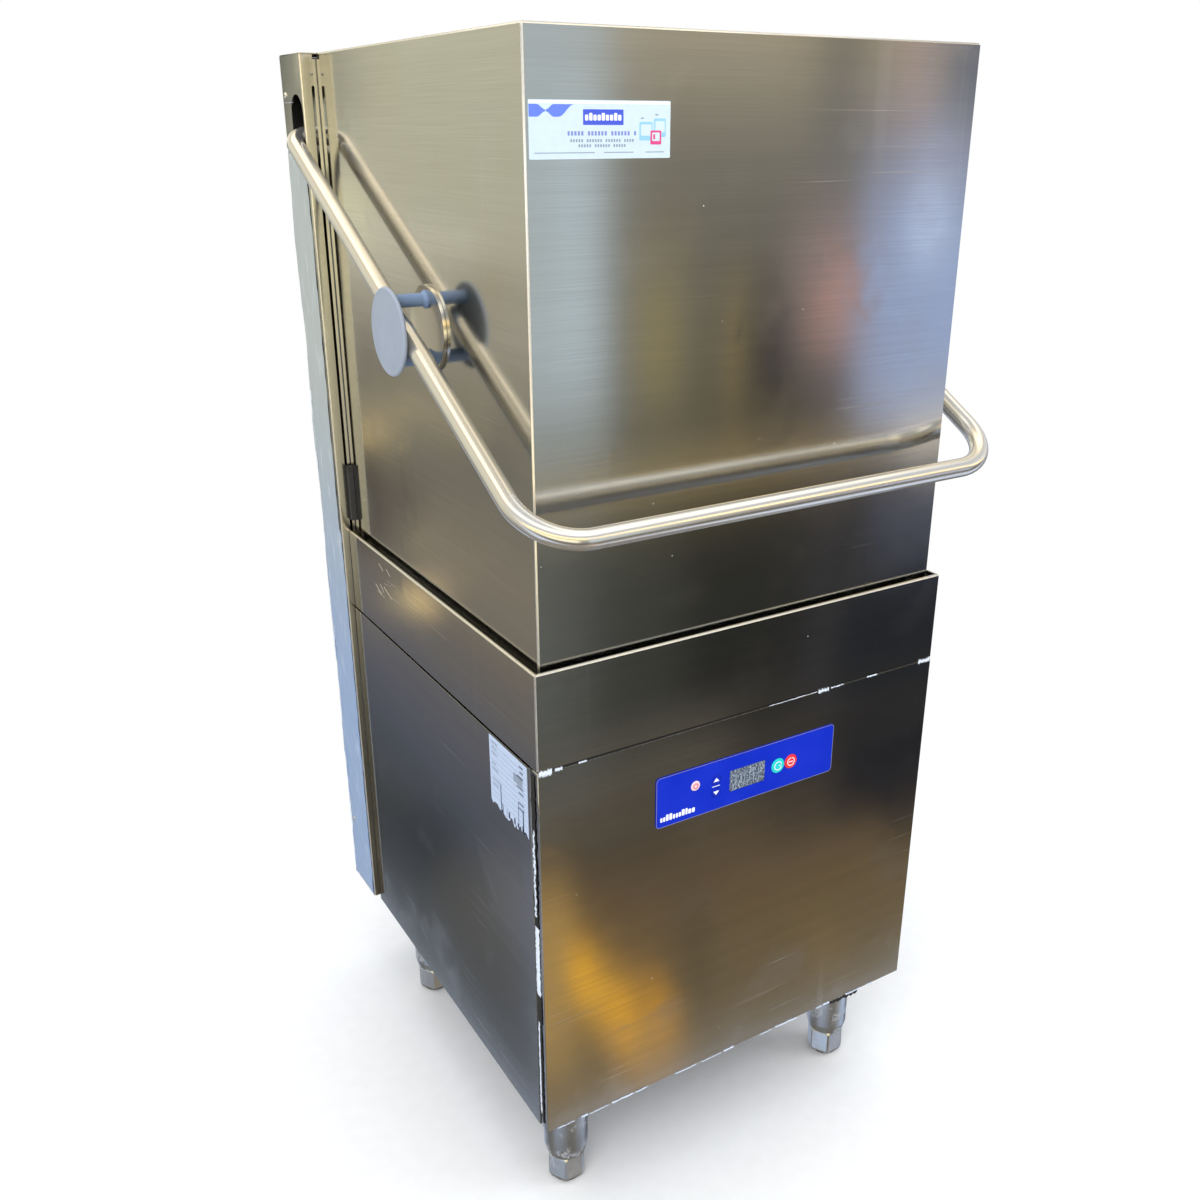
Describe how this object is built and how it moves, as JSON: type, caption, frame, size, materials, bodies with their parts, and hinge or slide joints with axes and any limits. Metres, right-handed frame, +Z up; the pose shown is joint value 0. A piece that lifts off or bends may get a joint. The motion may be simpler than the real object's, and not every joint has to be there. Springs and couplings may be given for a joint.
{
  "type": "hood-type commercial dishwasher",
  "caption": "Pass-through commercial dishwasher: a steel hood lifted by a bent tube handle over a cabinet with wash tank, turning spray arms, control panel and levelling feet.",
  "frame": {"origin": "on the floor, in the middle of the closed machine's overall width and depth", "axes": "+Z up, -Y towards the front (control panel and handle bar), +X to the right seen from the front"},
  "size_m": [0.716, 0.7678, 1.512],
  "materials": {
    "brushed_steel": "brushed stainless sheet, reflecting a dim warm room",
    "column_steel": "brushed stainless sheet, partly under torn protective film",
    "handle_steel": "polished stainless tube",
    "inner_steel": "plain stainless",
    "frame_steel": "mill finish",
    "leg_metal": "turned metal with pale corrosion",
    "spring_steel": "oiled spring wire",
    "motor_grey": "cast, painted dark grey",
    "guide_plastic": "moulded grey-blue plastic",
    "glide_plastic": "moulded off-white plastic",
    "housing_black": "moulded black plastic",
    "fascia_blue": "printed film, saturated blue",
    "display_grey": "dark display window",
    "key_white": "domed membrane key",
    "key_blue": "domed membrane key",
    "key_green": "domed membrane key",
    "key_red": "domed membrane key",
    "hose_rubber": "moulded rubber hose"
  },
  "bodies": {
    "cabinet": {"base_frame": "frame_steel", "side_panel_left": "brushed_steel", "side_panel_right": "brushed_steel", "front_panel": "brushed_steel", "rim_band": "brushed_steel", "leg_front_left": "leg_metal", "leg_front_right": "leg_metal", "leg_rear_left": "leg_metal", "leg_rear_right": "leg_metal", "control_fascia": "fascia_blue", "display_window": "display_grey", "control_housing": "housing_black", "wash_tank": "inner_steel", "strainer_left": "inner_steel", "strainer_right": "inner_steel", "rack_frame": "inner_steel", "lower_spindle": "inner_steel", "upper_spindle": "inner_steel", "riser_pipe": "inner_steel", "drain_fitting": "housing_black", "tank_heater": "spring_steel", "wash_pump": "motor_grey", "pump_hose": "hose_rubber", "boiler": "inner_steel", "inlet_valve": "housing_black", "column_shell": "column_steel", "column_top_cap": "column_steel", "chamber_back_panel": "inner_steel", "guide_rail_left": "frame_steel", "guide_rail_right": "frame_steel", "shaft_bearing_left": "glide_plastic", "shaft_bearing_right": "glide_plastic", "spring_anchor": "frame_steel", "balance_spring_left": "spring_steel", "balance_spring_right": "spring_steel"},
    "hood": {"hood_shell": "brushed_steel", "hood_carriage_left": "glide_plastic", "hood_carriage_right": "glide_plastic", "guide_base_left": "handle_steel", "guide_base_right": "handle_steel", "guide_cap_left": "guide_plastic", "guide_cap_right": "guide_plastic"},
    "handle": {"handle_tube": "handle_steel", "cross_shaft": "frame_steel", "balance_lever_left": "frame_steel", "balance_lever_right": "frame_steel"},
    "lower_wash_arm": {"lower_wash_arm": "inner_steel"},
    "lower_rinse_arm": {"lower_rinse_arm": "inner_steel"},
    "upper_wash_arm": {"upper_wash_arm": "inner_steel"},
    "upper_rinse_arm": {"upper_rinse_arm": "inner_steel"},
    "overflow_pipe": {"overflow_pipe": "glide_plastic"},
    "key_power": {"key_power": "key_white"},
    "key_up": {"key_up": "key_blue"},
    "key_down": {"key_down": "key_blue"},
    "key_start": {"key_start": "key_green"},
    "key_stop": {"key_stop": "key_red"},
    "foot_front_left": {"foot_front_left": "leg_metal"},
    "foot_front_right": {"foot_front_right": "leg_metal"},
    "foot_rear_left": {"foot_rear_left": "leg_metal"},
    "foot_rear_right": {"foot_rear_right": "leg_metal"}
  },
  "joints": [
    {"name": "hood_lift", "type": "slide", "parent": "cabinet", "child": "hood", "axis": [0, 0, 1], "range_m": [0, 0.42], "deforming": ["balance_spring_left", "balance_spring_right"]},
    {"name": "handle_swing", "type": "hinge", "parent": "cabinet", "child": "handle", "pos_m": [0, 0.326, 1.41], "axis": [-1, 0, 0], "range_deg": [0, 58.25]},
    {"name": "lower_wash_spin", "type": "hinge", "parent": "cabinet", "child": "lower_wash_arm", "pos_m": [0, -0.002, 0.78], "axis": [0, 0, 1], "continuous": true},
    {"name": "lower_rinse_spin", "type": "hinge", "parent": "cabinet", "child": "lower_rinse_arm", "pos_m": [0, -0.002, 0.802], "axis": [0, 0, 1], "continuous": true},
    {"name": "upper_wash_spin", "type": "hinge", "parent": "cabinet", "child": "upper_wash_arm", "pos_m": [0, -0.002, 1.393], "axis": [0, 0, 1], "continuous": true},
    {"name": "upper_rinse_spin", "type": "hinge", "parent": "cabinet", "child": "upper_rinse_arm", "pos_m": [0, -0.002, 1.376], "axis": [0, 0, 1], "continuous": true},
    {"name": "overflow_lift", "type": "slide", "parent": "cabinet", "child": "overflow_pipe", "axis": [0, 0, 1], "range_m": [0, 0.008]},
    {"name": "power_key_press", "type": "slide", "parent": "cabinet", "child": "key_power", "axis": [0, 1, 0], "range_m": [0, 0.0006], "stiffness_N_per_m": 800},
    {"name": "up_key_press", "type": "slide", "parent": "cabinet", "child": "key_up", "axis": [0, 1, 0], "range_m": [0, 0.0006], "stiffness_N_per_m": 800},
    {"name": "down_key_press", "type": "slide", "parent": "cabinet", "child": "key_down", "axis": [0, 1, 0], "range_m": [0, 0.0006], "stiffness_N_per_m": 800},
    {"name": "start_key_press", "type": "slide", "parent": "cabinet", "child": "key_start", "axis": [0, 1, 0], "range_m": [0, 0.0006], "stiffness_N_per_m": 800},
    {"name": "stop_key_press", "type": "slide", "parent": "cabinet", "child": "key_stop", "axis": [0, 1, 0], "range_m": [0, 0.0006], "stiffness_N_per_m": 800},
    {"name": "foot_front_left_screw", "type": "slide", "parent": "cabinet", "child": "foot_front_left", "axis": [0, 0, 1], "range_m": [-0.03, 0]},
    {"name": "foot_front_right_screw", "type": "slide", "parent": "cabinet", "child": "foot_front_right", "axis": [0, 0, 1], "range_m": [-0.03, 0]},
    {"name": "foot_rear_left_screw", "type": "slide", "parent": "cabinet", "child": "foot_rear_left", "axis": [0, 0, 1], "range_m": [-0.03, 0]},
    {"name": "foot_rear_right_screw", "type": "slide", "parent": "cabinet", "child": "foot_rear_right", "axis": [0, 0, 1], "range_m": [-0.03, 0]}
  ],
  "couplings": [
    {"joint": "handle_swing", "follows": "hood_lift", "rad_per_m": 2.4206}
  ]
}
